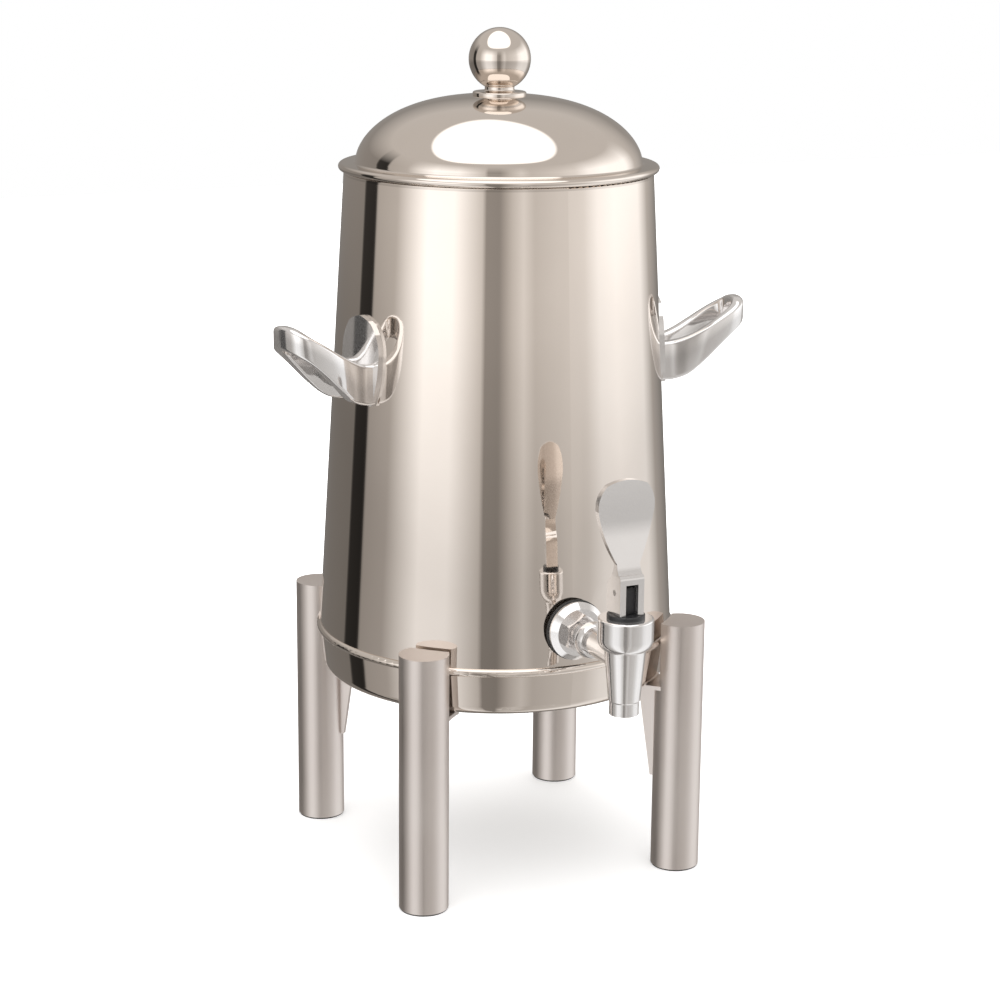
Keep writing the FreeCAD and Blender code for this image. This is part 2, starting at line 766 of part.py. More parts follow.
def make_tap_body():
    tap = body("tap_body")
    turned(tap,
           [("0", "spout_bottom"), ("lip_radius", "spout_bottom"),
            ("lip_radius", "spout_bottom + lip_height"),
            ("lip_radius + lip_step", "spout_bottom + lip_height + lip_ease"),
            ("cone_radius", "barrel_bottom - barrel_round / 2"),
            ("barrel_radius", "barrel_bottom + barrel_round"),
            ("barrel_radius", "barrel_top - barrel_edge"), ("barrel_radius - barrel_edge", "barrel_top"),
            ("0", "barrel_top")],
           {4: "barrel_under_bend", 6: "barrel_edge"})
    inlet = sketch_on(tap, "YZ_Plane")
    draw_circle(inlet, "0", "tap_height", "shank_radius")
    padded(tap, inlet, "spout_reach - joint_reach", reverse=True)
    turned(tap,
           [("0", "spout_bottom - cut_margin"), ("spout_bore", "spout_bottom - cut_margin"),
            ("spout_bore", "seat_height"),
            ("chamber_radius", "seat_height"), ("chamber_radius", "barrel_top - bonnet_plug"),
            ("bonnet_plug_radius", "barrel_top - bonnet_plug"),
            ("bonnet_plug_radius", "barrel_top + cut_margin"), ("0", "barrel_top + cut_margin")], cut=True)
    bore = sketch_on(tap, "YZ_Plane")
    draw_circle(bore, "0", "tap_height", "shank_bore")
    feature = tap.newObject("PartDesign::Pocket", "tap_inlet_bore")
    feature.Profile = bore
    bind(feature, "Length", "spout_reach - joint_reach + cut_margin")
    seat(tap, "tap_body", out="spout_reach", turn="0")


def make_bonnet():
    bonnet = body("tap_bonnet")
    guide = "stem_radius + stem_fit"
    turned(bonnet,
           [(guide, "bonnet_top"), (guide, "barrel_top - bonnet_plug + bonnet_recess"),
            ("spring_radius + spring_wire", "barrel_top - bonnet_plug + bonnet_recess"),
            ("spring_radius + spring_wire", "barrel_top - bonnet_plug"),
            ("bonnet_plug_radius", "barrel_top - bonnet_plug"), ("bonnet_plug_radius", "barrel_top"),
            ("bonnet_radius", "barrel_top"), ("bonnet_radius", "bonnet_top - bonnet_edge"),
            ("bonnet_radius - bonnet_edge", "bonnet_top")],
           {7: "bonnet_edge"})
    seat(bonnet, "tap_bonnet", out="spout_reach", turn="0")


def make_stem():
    """Black stem: a round rod through the bonnet with a square head that carries the lever's pin."""
    stem = body("tap_stem")
    sketch = sketch_on(stem, "XY_Plane")
    offset_sketch(sketch, "seat_height + cup_floor")
    draw_circle(sketch, "0", "0", "stem_radius")
    padded(stem, sketch, "pin_height - seat_height - cup_floor")
    head = sketch_on(stem, "XZ_Plane")
    half = "stem_head_width / 2"
    draw(head, [("-(%s)" % half, "bonnet_top + lever_clearance"), (half, "bonnet_top + lever_clearance"),
                (half, "pin_height"), ("0", "pin_height + %s" % half), ("-(%s)" % half, "pin_height")],
         {2: half, 3: half})
    padded(stem, head, "stem_head_width", midplane=True)
    hole = sketch_on(stem, "XZ_Plane")
    draw_circle(hole, "0", "pin_height", "pin_radius")
    cut_through(stem, hole)
    seat(stem, "tap_stem", out="spout_reach", turn="0")

    cup = body("seat_cup")
    turned(cup,
           [("0", "seat_height"), ("cup_radius", "seat_height"), ("cup_radius", "seat_height + cup_land"),
            ("cup_radius - cup_taper", "seat_height + cup_height"),
            ("stem_radius", "seat_height + cup_height"),
            ("stem_radius", "seat_height + cup_floor"), ("0", "seat_height + cup_floor")])
    seat(cup, "seat_cup", out="spout_reach", turn="0")


def make_spring():
    """Coil spring between the seat cup and the bonnet, wound on the stem."""
    low = number("seat_height + cup_height + spring_wire / 2")
    high = number("barrel_top - bonnet_plug + bonnet_recess - spring_wire / 2")
    turns = number("spring_turns")
    radius = number("spring_radius")
    path = Part.Wire(Part.makeHelix((high - low) / turns, high - low, radius).Edges)
    path.translate(FreeCAD.Vector(0, 0, low))
    wire = Part.Wire(Part.makeCircle(number("spring_wire") / 2, FreeCAD.Vector(radius, 0, low),
                                     FreeCAD.Vector(0, 1, 0)))
    spring = doc.addObject("Part::Feature", "stem_spring")
    spring.Shape = path.makePipeShell([wire], True, True)
    seat(spring, "stem_spring", out="spout_reach", turn="0")


def make_lever():
    """Forked foot on the bonnet, a neck and a broad paddle: one casting."""
    foot = "bonnet_top + lever_clearance"
    lever = body("tap_lever")
    side = sketch_on(lever, "XZ_Plane")
    top = "paddle_top"
    neck = "paddle_neck_height"
    lean = "paddle_lean"
    draw(side,
         [("-lever_heel", foot), ("lever_foot", foot), ("lever_foot", "lever_shoulder - lever_round"),
          ("lever_foot - lever_round", "lever_shoulder"), ("paddle_thickness / 2", neck),
          ("paddle_thickness / 2 - %s" % lean, top), ("-paddle_thickness / 2 - %s" % lean, top),
          ("-paddle_thickness / 2", neck), ("-lever_heel + heel_slope", "lever_shoulder - heel_slope"),
          ("-lever_heel", "lever_shoulder - heel_drop")],
         {2: "lever_round", 3: "-neck_bend", 4: "-paddle_front_bend", 6: "paddle_back_bend", 7: "-neck_bend",
          8: "heel_bend"})
    padded(lever, side, "paddle_half_width * 2", midplane=True)
    low = "%s - cut_margin" % foot
    high = "paddle_top + cut_margin"
    for hand in ("", "-"):
        outline = sketch_on(lever, "YZ_Plane")
        edge = "%s(paddle_half_width + cut_margin)" % hand
        neck_side = "neck_side_bend" if hand == "" else "-neck_side_bend"
        draw(outline,
             [("%slever_half_width" % hand, low),
              ("%slever_half_width" % hand, "lever_shoulder - cheek_ease"),
              ("%spaddle_neck_half" % hand, neck), ("%spaddle_half_width" % hand, "paddle_wide_height"),
              ("%s(paddle_half_width - paddle_corner_inset)" % hand, "paddle_top - paddle_crown"),
              ("0", "paddle_top"), ("0", high), (edge, high), (edge, low)],
             {2: neck_side, 3: "%spaddle_corner_bend" % hand, 4: "%spaddle_top_bend" % hand})
        cut_through(lever, outline)
    slot = sketch_on(lever, "XZ_Plane")
    draw(slot, [("-slot_back", low), ("lever_foot + cut_margin", low),
                ("lever_foot + cut_margin", "pin_height + slot_roof"),
                ("-slot_back", "pin_height + slot_roof")])
    fork = lever.newObject("PartDesign::Pocket", "lever_slot_cut")
    fork.Profile = slot
    bind(fork, "Length", "lever_slot")
    fork.Midplane = True
    hole = sketch_on(lever, "XZ_Plane")
    draw_circle(hole, "0", "pin_height", "pin_radius + stem_fit")
    cut_through(lever, hole)
    seat(lever, "tap_lever", out="spout_reach", turn="0")

    pin = body("lever_pin")
    sketch = sketch_on(pin, "XZ_Plane")
    draw_circle(sketch, "0", "pin_height", "pin_radius")
    padded(pin, sketch, "lever_half_width * 2", midplane=True)
    seat(pin, "lever_pin", out="spout_reach", turn="0")


def dome_drop(radius):
    """Height of the dome's outer surface at a radius near the apex."""
    return "(dome_centre + sqrt(dome_top_radius^2 - (%s)^2))" % radius


def make_lid():
    hole = "finial_screw_radius"
    joint_x = "(shoulder_x + (%s) * shoulder_x / shoulder_span)"
    joint_z = "(brim_top + (%s) * shoulder_lift / shoulder_span)"
    inner = "dome_shoulder - dome_wall"
    inner_top = "(dome_centre + sqrt((dome_top_radius - dome_wall)^2 - (%s)^2))" % hole
    roll = "(brim_radius - brim_roll)"
    dome = body("lid_dome")
    turned(dome,
           [(hole, dome_drop(hole)), (joint_x % "dome_shoulder", joint_z % "dome_shoulder"),
            ("dome_radius", "brim_top + dome_fillet"), ("dome_radius + dome_fillet", "brim_top"),
            (roll, "brim_top"), ("brim_radius", "brim_top - brim_roll"), (roll, "brim_top - 2 * brim_roll"),
            ("%s - brim_roll" % roll, "brim_top - brim_roll"), ("%s - brim_roll" % roll, "brim_under"),
            ("dome_radius - dome_wall", "brim_under"), ("dome_radius - dome_wall", "brim_top"),
            (joint_x % inner, joint_z % inner), (hole, inner_top)],
           {0: "-dome_top_radius", 1: "-dome_shoulder", 2: "dome_fillet", 4: "-brim_roll", 5: "-brim_roll",
            6: "-brim_roll", 10: inner, 11: "dome_top_radius - dome_wall"})
    seat(dome, "lid_dome")

    wall = "(mouth_radius - liner_fit)"
    liner = body("lid_liner")
    turned(liner,
           [("0", "gasket_top - liner_depth"), ("%s - liner_corner" % wall, "gasket_top - liner_depth"),
            (wall, "gasket_top - liner_depth + liner_corner"), (wall, "gasket_top"),
            ("%s - brim_roll" % roll, "gasket_top"), ("%s - brim_roll" % roll, "brim_under"),
            ("%s - liner_wall" % wall, "brim_under"),
            ("%s - liner_wall" % wall, "gasket_top - liner_depth + liner_corner"),
            ("%s - liner_corner" % wall, "gasket_top - liner_depth + liner_wall"),
            ("0", "gasket_top - liner_depth + liner_wall")],
           {1: "liner_corner", 7: "-(liner_corner - liner_wall)"})
    seat(liner, "lid_liner")

    gasket = body("lid_gasket")
    turned(gasket,
           [(wall, "rim_height + lid_gap"), ("%s + gasket_width" % wall, "rim_height + lid_gap"),
            ("%s + gasket_width" % wall, "gasket_top"), (wall, "gasket_top")])
    seat(gasket, "lid_gasket")


def make_finial():
    hole = "finial_screw_radius"
    base = body("finial_base")
    top = "(dome_apex + finial_base_height)"
    turned(base,
           [(hole, dome_drop(hole)), ("finial_base_radius", dome_drop("finial_base_radius")),
            ("finial_base_radius", "%s - finial_edge" % top), ("finial_base_radius - finial_edge", top),
            ("finial_neck_radius + finial_cove", top), ("finial_neck_radius", "%s + finial_cove" % top),
            ("finial_neck_radius", "neck_top"), (hole, "neck_top")],
           {0: "-dome_top_radius", 2: "finial_edge", 4: "-finial_cove"})
    seat(base, "finial_base")

    ball = body("finial_ball")
    turned(ball,
           [(hole, "neck_top"), ("finial_neck_radius", "neck_top"), ("ball_radius", "ball_centre"),
            ("0", "ball_centre + ball_radius"), ("0", "ball_centre"), (hole, "ball_centre")],
           {1: "ball_radius", 2: "ball_radius"})
    seat(ball, "finial_ball")

    under = "(dome_centre + sqrt((dome_top_radius - dome_wall)^2 - finial_nut_radius^2))"
    screw = body("finial_screw")
    turned(screw,
           [("0", "%s - finial_nut_height" % under),
            ("finial_nut_radius - finial_nut_edge", "%s - finial_nut_height" % under),
            ("finial_nut_radius", "%s - finial_nut_height + finial_nut_edge" % under),
            ("finial_nut_radius", under),
            (hole, inner_dome_top()), (hole, "ball_centre"), ("0", "ball_centre")],
           {1: "finial_nut_edge", 3: "dome_top_radius - dome_wall"})
    seat(screw, "finial_screw")


def inner_dome_top():
    """Height of the dome's inner surface at the finial screw."""
    return "(dome_centre + sqrt((dome_top_radius - dome_wall)^2 - finial_screw_radius^2))"


LEGS = {"front_right": "leg_spread", "front_left": "-leg_spread", "back_right": "180 - leg_spread",
        "back_left": "180 + leg_spread"}
HANDLES = {"right": "handle_turn", "left": "-handle_turn"}

make_outer_shell()
make_inner_vessel()
make_outer_bottom()
make_mouth_ring()
make_base_ring()
make_base_plate()
for leg_name, leg_turn in LEGS.items():
    make_leg(leg_name, leg_turn)
make_bracket_screws()
for handle_name, handle_turn in HANDLES.items():
    make_handle(handle_name, handle_turn)
make_outlet()
make_tap_body()
make_bonnet()
make_stem()
make_spring()
make_lever()
make_lid()
make_finial()

sheet.clear("D1")
doc.recompute()

failed = [item.Name for item in doc.Objects if "Invalid" in item.State or "Error" in item.State]
for piece in nodes:
    if piece.Shape.isNull() or not piece.Shape.isValid() or not piece.Shape.Solids:
        failed.append(piece.Label)
if failed:
    raise RuntimeError("failed: " + ", ".join(failed))

os.makedirs("parts", exist_ok=True)
for piece in nodes:
    piece.Shape.exportStep(os.path.join("parts", piece.Label + ".step"))
    print(piece.Label, len(piece.Shape.Solids), round(piece.Shape.Volume, 2))
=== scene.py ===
import json
import math

import bmesh
import bpy
from mathutils import Matrix, Vector


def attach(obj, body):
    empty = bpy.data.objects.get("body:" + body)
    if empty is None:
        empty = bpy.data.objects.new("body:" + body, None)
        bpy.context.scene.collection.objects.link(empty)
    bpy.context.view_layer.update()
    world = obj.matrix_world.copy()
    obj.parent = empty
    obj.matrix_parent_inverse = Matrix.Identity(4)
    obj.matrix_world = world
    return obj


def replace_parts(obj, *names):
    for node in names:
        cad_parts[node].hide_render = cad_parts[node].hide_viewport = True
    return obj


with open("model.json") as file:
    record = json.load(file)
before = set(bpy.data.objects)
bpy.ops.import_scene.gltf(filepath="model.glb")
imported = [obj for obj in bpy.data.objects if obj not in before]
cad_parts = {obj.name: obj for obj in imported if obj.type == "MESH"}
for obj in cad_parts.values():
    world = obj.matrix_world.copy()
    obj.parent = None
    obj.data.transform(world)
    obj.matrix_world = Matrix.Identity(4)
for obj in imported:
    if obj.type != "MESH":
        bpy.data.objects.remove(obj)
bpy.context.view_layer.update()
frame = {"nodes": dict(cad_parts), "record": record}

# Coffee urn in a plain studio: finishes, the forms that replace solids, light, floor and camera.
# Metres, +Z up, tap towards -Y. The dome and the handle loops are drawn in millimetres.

PER_METRE = 1000.0
AXIS_Y = 0.0466
CAMERA_TURN = math.radians(25.0)
TOWARDS_CAMERA = Vector((-math.sin(CAMERA_TURN), -math.cos(CAMERA_TURN), 0.0))
TO_THE_RIGHT = Vector((math.cos(CAMERA_TURN), -math.sin(CAMERA_TURN), 0.0))
UP = Vector((0.0, 0.0, 1.0))
WHITE = (1.0, 1.0, 1.0)


# Node helpers

class Nodes:
    """A node tree with short calls for adding and joining nodes."""

    def __init__(self, tree):
        self.tree = tree
        tree.nodes.clear()

    def give(self, node, socket, value):
        """Link a socket, or set it to a plain value."""
        if isinstance(value, bpy.types.NodeSocket):
            self.tree.links.new(value, node.inputs[socket])
        else:
            node.inputs[socket].default_value = value

    def add(self, kind, inputs=None, **settings):
        node = self.tree.nodes.new(kind)
        for name, value in settings.items():
            setattr(node, name, value)
        for socket, value in (inputs or {}).items():
            self.give(node, socket, value)
        return node

    def math(self, operation, *values):
        return self.add("ShaderNodeMath", dict(enumerate(values)), operation=operation).outputs[0]

    def vector(self, operation, *values):
        return self.add("ShaderNodeVectorMath", dict(enumerate(values)), operation=operation)

    def ramp(self, factor, stops):
        """stops are pairs of place and grey level or colour."""
        node = self.add("ShaderNodeValToRGB", {"Fac": factor})
        elements = node.color_ramp.elements
        while len(elements) < len(stops):
            elements.new(0.5)
        for element, (place, tone) in zip(elements, stops):
            element.position = place
            colour = (tone, tone, tone) if isinstance(tone, (int, float)) else tone
            element.color = (*colour, 1.0)
        return node.outputs["Color"]

    def mix(self, factor, first, second, blend="MIX"):
        """Mix two colours; sockets 6 and 7 of the node are its colours and output 2 is its colour."""
        node = self.add("ShaderNodeMix", {0: factor}, data_type="RGBA", blend_type=blend)
        for socket, value in ((6, first), (7, second)):
            self.give(node, socket, (*value, 1.0) if isinstance(value, tuple) else value)
        return node.outputs[2]

    def end(self, kind, shader):
        """Join a shader to the tree's output node."""
        self.give(self.add(kind), "Surface", shader)


# Finishes

def grain(nodes, scale, stretch, detail=3.0, roughness=0.5, turned=False):
    """Noise in the object's own frame, stretched by the three factors in stretch.

    On a turned surface the factors are for the radius, the angle and the height.
    """
    place = nodes.add("ShaderNodeTexCoord").outputs["Object"]
    source = nodes.vector("SUBTRACT", place, (0.0, AXIS_Y, 0.0)).outputs[0]
    if turned:
        split = nodes.add("ShaderNodeSeparateXYZ", {"Vector": source}).outputs
        across = nodes.math("MULTIPLY", split["X"], split["X"])
        along = nodes.math("MULTIPLY", split["Y"], split["Y"])
        radius = nodes.math("SQRT", nodes.math("ADD", across, along))
        angle = nodes.math("ARCTAN2", split["Y"], split["X"])
        source = nodes.add("ShaderNodeCombineXYZ", {"X": radius, "Y": angle, "Z": split["Z"]}).outputs[0]
    mapping = nodes.add("ShaderNodeMapping", {"Vector": source, "Scale": stretch})
    noise = nodes.add("ShaderNodeTexNoise", {"Vector": mapping.outputs[0], "Scale": scale,
                                             "Detail": detail, "Roughness": roughness})
    return noise.outputs["Fac"]


def finish(name, colours, roughness, metallic=0.0, stretch=(1.0, 1.0, 1.0), scale=60.0, turned=False,
           bump=0.05, depth=0.0002, fixed=None):
    """A material whose colour, roughness and bump all follow noise.

    colours are the darker and the lighter tone; roughness is its lowest and highest value. The fine
    grain makes the bump, and broad smudges vary the colour. Noise keeps mostly between low and high.
    """
    low, high = 0.3, 0.7
    material = bpy.data.materials.new(name)
    material.use_nodes = True
    nodes = Nodes(material.node_tree)
    fine = grain(nodes, scale, stretch, turned=turned)
    smudges = grain(nodes, 9.0, (1.0, 1.0, 1.0), detail=4.0, roughness=0.6)
    colour = nodes.ramp(smudges, [(low, colours[0]), (high, colours[1])])
    both = nodes.math("ADD", nodes.math("MULTIPLY", fine, 0.5), nodes.math("MULTIPLY", smudges, 0.5))
    rough = nodes.add("ShaderNodeMapRange", {"Value": both, "From Min": low, "From Max": high,
                                             "To Min": roughness[0], "To Max": roughness[1]})
    height = nodes.add("ShaderNodeBump", {"Height": fine, "Strength": bump, "Distance": depth})
    shader = nodes.add("ShaderNodeBsdfPrincipled",
                       {"Base Color": colour, "Metallic": metallic, "Roughness": rough.outputs["Result"],
                        "Normal": height.outputs["Normal"], **(fixed or {})})
    nodes.end("ShaderNodeOutputMaterial", shader.outputs[0])
    return material


materials = {
    "polished_steel": finish("polished_steel", ((0.80, 0.725, 0.66), (0.84, 0.765, 0.70)), (0.015, 0.05), 1.0,
                             stretch=(900.0, 0.6, 900.0), scale=1.0, turned=True, bump=0.012, depth=0.0001),
    "inner_steel": finish("inner_steel", ((0.60, 0.58, 0.56), (0.66, 0.64, 0.62)), (0.25, 0.38), 1.0,
                          stretch=(700.0, 1.0, 700.0), scale=1.0, turned=True, bump=0.08, depth=0.0001),
    "leg_steel": finish("leg_steel", ((0.77, 0.70, 0.66), (0.82, 0.76, 0.72)), (0.34, 0.46), 1.0,
                        stretch=(900.0, 900.0, 6.0), scale=1.0, bump=0.08, depth=0.0001),
    "cast_chrome": finish("cast_chrome", ((0.86, 0.84, 0.83), (0.92, 0.90, 0.89)), (0.05, 0.12), 0.92,
                          scale=260.0, bump=0.02, depth=0.0003),
    "plain_steel": finish("plain_steel", ((0.52, 0.51, 0.50), (0.60, 0.59, 0.58)), (0.22, 0.36), 1.0,
                          scale=500.0, bump=0.08),
    "black_plastic": finish("black_plastic", ((0.016, 0.016, 0.018), (0.028, 0.028, 0.030)), (0.28, 0.42),
                            scale=900.0, bump=0.15, depth=0.0001),
    "black_rubber": finish("black_rubber", ((0.020, 0.020, 0.020), (0.036, 0.035, 0.034)), (0.55, 0.75),
                           scale=700.0, bump=0.25, depth=0.0001),
    "clear_silicone": finish("clear_silicone", ((0.80, 0.79, 0.75), (0.85, 0.84, 0.81)), (0.30, 0.45),
                             scale=300.0, bump=0.05,
                             fixed={"Transmission Weight": 0.35, "IOR": 1.41, "Subsurface Weight": 0.15}),
}

for part in frame["record"]["subparts"]:
    mesh = frame["nodes"][part["node"]].data
    mesh.materials.clear()
    mesh.materials.append(materials[part["material_slot"]])


# Pieces that replace solids

SHARP_EDGE = math.radians(40.0)


def band_faces(rows, count):
    """Four-sided faces between each ring of count corners and the next."""
    faces = []
    for row in range(rows - 1):
        for step in range(count):
            after = (step + 1) % count
            faces.append((row * count + step, row * count + after,
                          (row + 1) * count + after, (row + 1) * count + step))
    return faces


def new_piece(name, corners, faces, rides, slot):
    """A smooth-shaded piece that keeps its sharp edges."""
    mesh = bpy.data.meshes.new(name)
    mesh.from_pydata(corners, [], faces)
    shape = bmesh.new()
    shape.from_mesh(mesh)
    bmesh.ops.remove_doubles(shape, verts=shape.verts, dist=1e-6)
    bmesh.ops.recalc_face_normals(shape, faces=shape.faces)
    for face in shape.faces:
        face.smooth = True
    for edge in shape.edges:
        edge.smooth = edge.calc_face_angle(0.0) < SHARP_EDGE
    shape.to_mesh(mesh)
    shape.free()
    mesh.materials.append(materials[slot])
    piece = bpy.data.objects.new(name, mesh)
    bpy.context.scene.collection.objects.link(piece)
    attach(piece, rides)
    return piece


def arc(middle, radius, angles):
    """Points round middle at the given angles, in degrees."""
    return [(middle[0] + radius * math.cos(math.radians(angle)),
             middle[1] + radius * math.sin(math.radians(angle))) for angle in angles]


# The lid's dome, with a softer shoulder than the solid's: radius and height in millimetres

BRIM_TOP = 517.5
BRIM_UNDER = 516.3
BRIM_ROLL = 2.6
BRIM_MIDDLE = (112.9, 514.9)
DOME_OUTSIDE = (103.3, 48.6)
DOME_INSIDE = (102.0, 47.4)
DOME_FILLET = 2.0
DOME_POWERS = (2.43, 1.83)
DOME_SEGMENTS = 192


def dome_curve(radius, height, steps):
    """Points from the dome's foot to its top; an ellipse would have 2 for both powers."""
    points = []
    for step in range(steps + 1):
        angle = math.pi / 2.0 * step / steps
        points.append((radius * max(math.cos(angle), 0.0) ** (2.0 / DOME_POWERS[0]),
                       BRIM_TOP + height * math.sin(angle) ** (2.0 / DOME_POWERS[1])))
    return points


def build_dome():
    foot = DOME_OUTSIDE[0]
    fillet_top = BRIM_TOP + DOME_FILLET
    outer = [point for point in dome_curve(*DOME_OUTSIDE, 64) if point[1] > fillet_top + 0.1]
    fillet = arc((foot + DOME_FILLET, fillet_top), DOME_FILLET, range(180, 271, 15))
    roll = arc(BRIM_MIDDLE, BRIM_ROLL, range(90, -181, -15))
    under = [(BRIM_MIDDLE[0] - BRIM_ROLL, BRIM_UNDER), (DOME_INSIDE[0], BRIM_UNDER)]
    inner = dome_curve(*DOME_INSIDE, 48)
    profile = outer[::-1] + fillet + roll + under + inner[1:]
    corners = []
    for radius, height in profile:
        for step in range(DOME_SEGMENTS):
            angle = 2.0 * math.pi * step / DOME_SEGMENTS
            corners.append((radius * math.cos(angle) / PER_METRE,
                            AXIS_Y + radius * math.sin(angle) / PER_METRE, height / PER_METRE))
    return new_piece("dome", corners, band_faces(len(profile), DOME_SEGMENTS), "lid", "polished_steel")


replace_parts(build_dome(), "lid_dome")


# The two handle loops: rounded bands that rise from the plates, in place of the sharp-edged solids

HANDLE_TURN = math.radians(78.0)
LOOP_ROUNDING = 3.0
# Distance from the urn's axis, distance from the handle's middle, lower and upper edge, half the band's
# thickness, all in millimetres, from the root to the middle of the end
LOOP = [(121.0, 14.6, 357.0, 385.5, 5.0), (130.0, 15.0, 357.5, 386.5, 5.0), (141.0, 17.5, 361.5, 390.5, 5.0),
        (152.0, 19.6, 371.0, 396.5, 4.8), (163.0, 19.6, 382.0, 403.5, 4.6), (172.5, 17.6, 391.0, 409.5, 4.5),
        (178.4, 13.4, 396.0, 413.5, 4.4), (180.9, 7.0, 398.5, 415.5, 4.4), (181.4, 0.0, 399.0, 416.0, 4.4)]


def smooth_between(stations, steps):
    """Points on a Catmull-Rom curve through the stations."""
    points = []
    last = len(stations) - 1
    for index in range(last):
        before = stations[max(index - 1, 0)]
        start, end = stations[index], stations[index + 1]
        after = stations[min(index + 2, last)]
        for step in range(steps):
            share = step / steps
            points.append([0.5 * (2.0 * b + (c - a) * share + (2.0 * a - 5.0 * b + 4.0 * c - d) * share ** 2
                                  + (3.0 * b - a - 3.0 * c + d) * share ** 3)
                           for a, b, c, d in zip(before, start, end, after)])
    points.append(list(stations[last]))
    return points


def rounded_section(half, low, high):
    """A band's cross-section, as offsets and heights, with rounded corners."""
    section = []
    side = half - LOOP_ROUNDING
    top, bottom = high - LOOP_ROUNDING, low + LOOP_ROUNDING
    for start, middle in ((0, (side, top)), (90, (-side, top)), (180, (-side, bottom)), (270, (side, bottom))):
        section += arc(middle, LOOP_ROUNDING, range(start, start + 91, 18))
    return section


def build_loop(name, side):
    half_path = smooth_between(LOOP, 6)
    path = half_path + [[reach, -offset, *rest] for reach, offset, *rest in reversed(half_path[:-1])]
    outward = Vector((side * math.sin(HANDLE_TURN), -math.cos(HANDLE_TURN), 0.0))
    lateral = UP.cross(outward)
    rings = []
    for index, (reach, offset, low, high, half) in enumerate(path):
        before, after = path[max(index - 1, 0)], path[min(index + 1, len(path) - 1)]
        along = Vector((after[0] - before[0], after[1] - before[1])).normalized()
        across = Vector((along.y, -along.x))
        ring = []
        for width, level in rounded_section(half, low, high):
            point = outward * (reach + across.x * width) + lateral * (offset + across.y * width) + UP * level
            ring.append(point / PER_METRE + Vector((0.0, AXIS_Y, 0.0)))
        rings.append(ring)
    count = len(rings[0])
    corners = [point for ring in rings for point in ring]
    ends = [tuple(reversed(range(count))), tuple(range(len(corners) - count, len(corners)))]
    return new_piece(name, corners, ends + band_faces(len(rings), count), "urn", "cast_chrome")


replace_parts(build_loop("loop_right", 1.0), "handle_loop_right")
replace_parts(build_loop("loop_left", -1.0), "handle_loop_left")


# Studio: walls whose panels and dark gaps the polish reflects, and one softbox overhead

WARM = (1.0, 0.94, 0.88)
DIM_WALL = 0.4
BRIGHT_WALL = 1.2
# Degrees to the right of the camera's own direction, and level there
PANELS = [(-180, 0.30), (-128, 0.28), (-115, 0.27), (-113.5, 0.04), (-100, 0.03), (-98, 0.48), (-78, 0.56),
          (-66, 0.95), (-52, 1.40), (-32, 1.35), (-20, 0.98), (-11, 0.72), (-8.5, 0.34), (1, 0.32),
          (5, 0.46), (10, 0.64), (18, 0.84), (26, 0.66), (48, 0.78), (64, 0.90), (76, 1.20), (92, 1.35),
          (122, 1.30), (138, 0.60), (160, 0.34), (180, 0.30)]
# Degrees above the horizon, and share of the ceiling's tone there
CEILING = [(14, 0.0), (34, 1.0)]
CEILING_TONE = (0.60, 0.575, 0.55)
# Degrees above the horizon, and share of the walls' level that is left there
FADE = [(-32, 0.72), (-14, 0.66), (-9.5, 0.66), (-3, 1.0)]
SOFTBOX_TONE = (1.5, 1.5, 1.5)


def tinted(level):
    """A panel's colour: dim walls are warm and bright ones are white."""
    share = min(max((level - DIM_WALL) / (BRIGHT_WALL - DIM_WALL), 0.0), 1.0)
    return tuple(level * (tint + (1.0 - tint) * share) for tint in WARM)


def on_ramp(stops, span):
    """Stops given in degrees either side of nought, as places on a ramp over that span of degrees."""
    return [(place / span + 0.5, tone) for place, tone in stops]


def overhead(nodes, right, ahead, up):
    """One inside the egg-shaped softbox overhead that the dome reflects, nought outside it.

    The egg lies on a level sheet one unit up, wider towards the camera.
    """
    height = nodes.math("MAXIMUM", up, 0.02)
    across = nodes.math("DIVIDE", right, height)
    along = nodes.math("DIVIDE", ahead, height)
    width = nodes.math("MULTIPLY_ADD", along, 0.43, 0.64)
    side = nodes.math("DIVIDE", nodes.math("ADD", across, 0.08), width)
    end = nodes.math("DIVIDE", nodes.math("SUBTRACT", along, 0.22), 0.95)
    span = nodes.math("ADD", nodes.math("MULTIPLY", side, side), nodes.math("MULTIPLY", end, end))
    inside = nodes.ramp(nodes.math("MULTIPLY", span, 0.5), [(0.46, 1.0), (0.53, 0.0)])
    above = nodes.ramp(up, [(0.02, 0.0), (0.06, 1.0)])
    return nodes.math("MULTIPLY", inside, above)


def build_world():
    world = bpy.data.worlds.new("studio")
    world.use_nodes = True
    bpy.context.scene.world = world
    nodes = Nodes(world.node_tree)
    direction = nodes.add("ShaderNodeTexCoord").outputs["Generated"]
    right, ahead, up = (nodes.vector("DOT_PRODUCT", direction, axis).outputs["Value"]
                        for axis in (TO_THE_RIGHT, TOWARDS_CAMERA, UP))
    turn = nodes.math("MULTIPLY_ADD", nodes.math("ARCTAN2", right, ahead), 1.0 / (2.0 * math.pi), 0.5)
    rise = nodes.math("MULTIPLY_ADD", nodes.math("ARCSINE", up), 1.0 / math.pi, 0.5)
    walls = nodes.ramp(turn, on_ramp([(place, tinted(level)) for place, level in PANELS], 360.0))
    room = nodes.mix(nodes.ramp(rise, on_ramp(CEILING, 180.0)), walls, CEILING_TONE)
    room = nodes.mix(overhead(nodes, right, ahead, up), room, SOFTBOX_TONE)
    faded = nodes.mix(1.0, room, nodes.ramp(rise, on_ramp(FADE, 180.0)), blend="MULTIPLY")
    camera_ray = nodes.add("ShaderNodeLightPath").outputs["Is Camera Ray"]
    background = nodes.add("ShaderNodeBackground", {"Color": nodes.mix(camera_ray, faded, WHITE)})
    nodes.end("ShaderNodeOutputWorld", background.outputs[0])


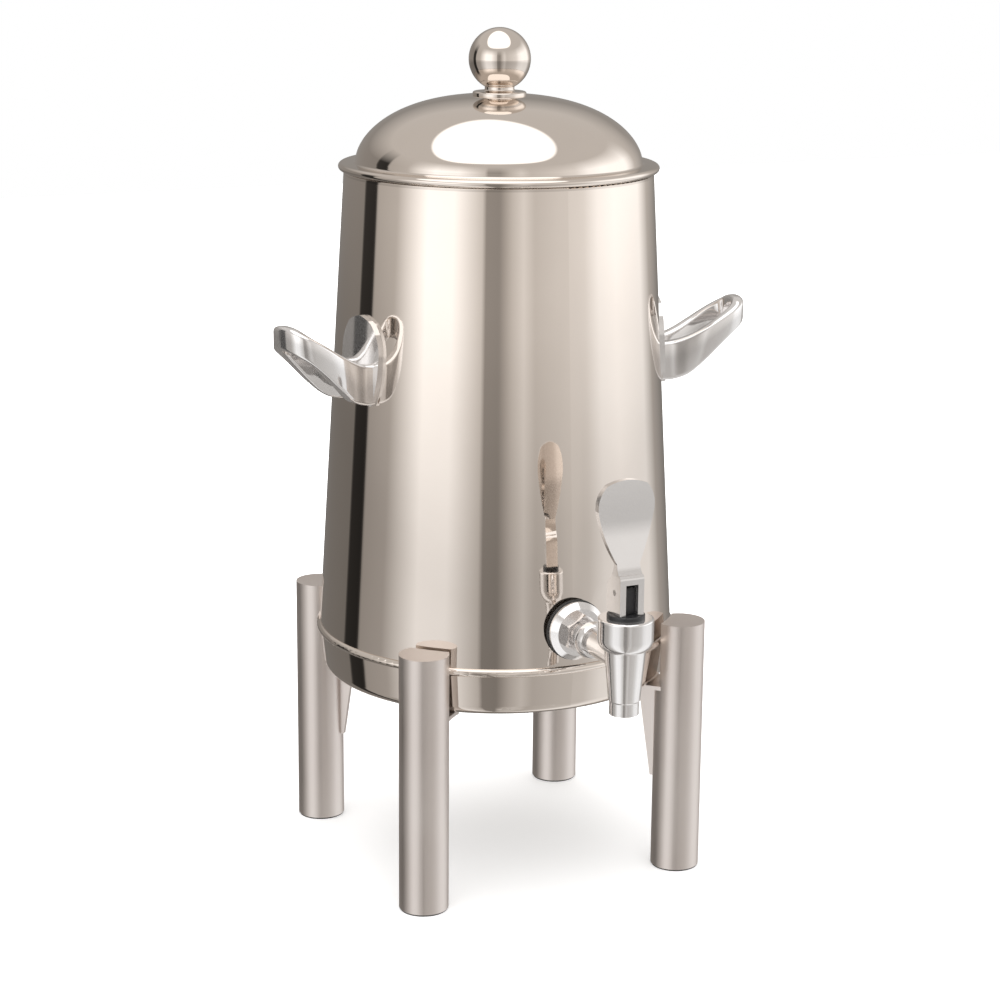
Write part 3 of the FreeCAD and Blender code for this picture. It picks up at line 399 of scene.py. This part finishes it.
def build_lamp():
    """The same softbox as a lamp, which lights the matt surfaces and casts the floor's shadow."""
    data = bpy.data.lights.new("overhead_softbox", "AREA")
    data.shape = "RECTANGLE"
    data.size = 1.35
    data.size_y = 3.4
    data.energy = 26.0
    lamp = bpy.data.objects.new("overhead_softbox", data)
    lamp.matrix_world = Matrix((TO_THE_RIGHT, UP.cross(TO_THE_RIGHT), UP)).transposed().to_4x4()
    lamp.location = (0.0, AXIS_Y, 1.75)
    lamp.visible_glossy = False
    bpy.context.scene.collection.objects.link(lamp)


def build_floor():
    """A pale floor that the camera sees grow white with distance, and that polish doesn't mirror."""
    half = 4.0
    mesh = bpy.data.meshes.new("floor")
    mesh.from_pydata([(-half, -half, 0), (half, -half, 0), (half, half, 0), (-half, half, 0)], [],
                     [(0, 1, 2, 3)])
    floor = bpy.data.objects.new("floor", mesh)
    bpy.context.scene.collection.objects.link(floor)
    material = bpy.data.materials.new("floor")
    material.use_nodes = True
    nodes = Nodes(material.node_tree)
    ray = nodes.add("ShaderNodeLightPath").outputs
    paint = nodes.add("ShaderNodeBsdfDiffuse", {"Color": (0.8, 0.8, 0.8, 1.0)}).outputs[0]
    far = nodes.vector("LENGTH", nodes.add("ShaderNodeTexCoord").outputs["Object"]).outputs["Value"]
    fill = nodes.add("ShaderNodeMapRange", {"Value": far, "From Min": 0.2, "From Max": 1.2,
                                            "To Min": 0.38, "To Max": 1.0})
    glow = nodes.add("ShaderNodeEmission", {"Strength": fill.outputs["Result"]}).outputs[0]
    both = nodes.add("ShaderNodeAddShader", {0: paint, 1: glow}).outputs[0]
    seen = nodes.add("ShaderNodeMixShader", {"Fac": ray["Is Camera Ray"], 1: paint, 2: both}).outputs[0]
    clear = nodes.add("ShaderNodeBsdfTransparent").outputs[0]
    last = nodes.add("ShaderNodeMixShader", {"Fac": ray["Is Glossy Ray"], 1: seen, 2: clear}).outputs[0]
    nodes.end("ShaderNodeOutputMaterial", last)
    mesh.materials.append(material)


# Camera, fitted to the rims: its focal length and the axis's place left of centre are in image points

IMAGE_WIDTH = 1000.0
FOCAL_LENGTH = 2451.0
AXIS_LEFT = 4.0
CAMERA_DISTANCE = 1.768
CAMERA_HEIGHT = 0.7128
CAMERA_PITCH = math.radians(14.15)
CAMERA_ROLL = 0.0087


def build_camera():
    data = bpy.data.cameras.new("camera")
    data.sensor_width = 36.0
    data.lens = FOCAL_LENGTH / IMAGE_WIDTH * data.sensor_width
    data.clip_start = 0.05
    data.clip_end = 50.0
    camera = bpy.data.objects.new("camera", data)
    turn = Matrix.Rotation(-CAMERA_TURN - math.atan(AXIS_LEFT / FOCAL_LENGTH), 4, "Z")
    pitch = Matrix.Rotation(math.radians(90.0) - CAMERA_PITCH, 4, "X")
    roll = Matrix.Rotation(CAMERA_ROLL, 4, "Z")
    place = Vector((0.0, AXIS_Y, CAMERA_HEIGHT)) + TOWARDS_CAMERA * CAMERA_DISTANCE
    camera.matrix_world = Matrix.Translation(place) @ turn @ pitch @ roll
    bpy.context.scene.collection.objects.link(camera)
    bpy.context.scene.camera = camera


build_world()
build_lamp()
build_floor()
build_camera()
bpy.context.scene.view_settings.view_transform = "Standard"
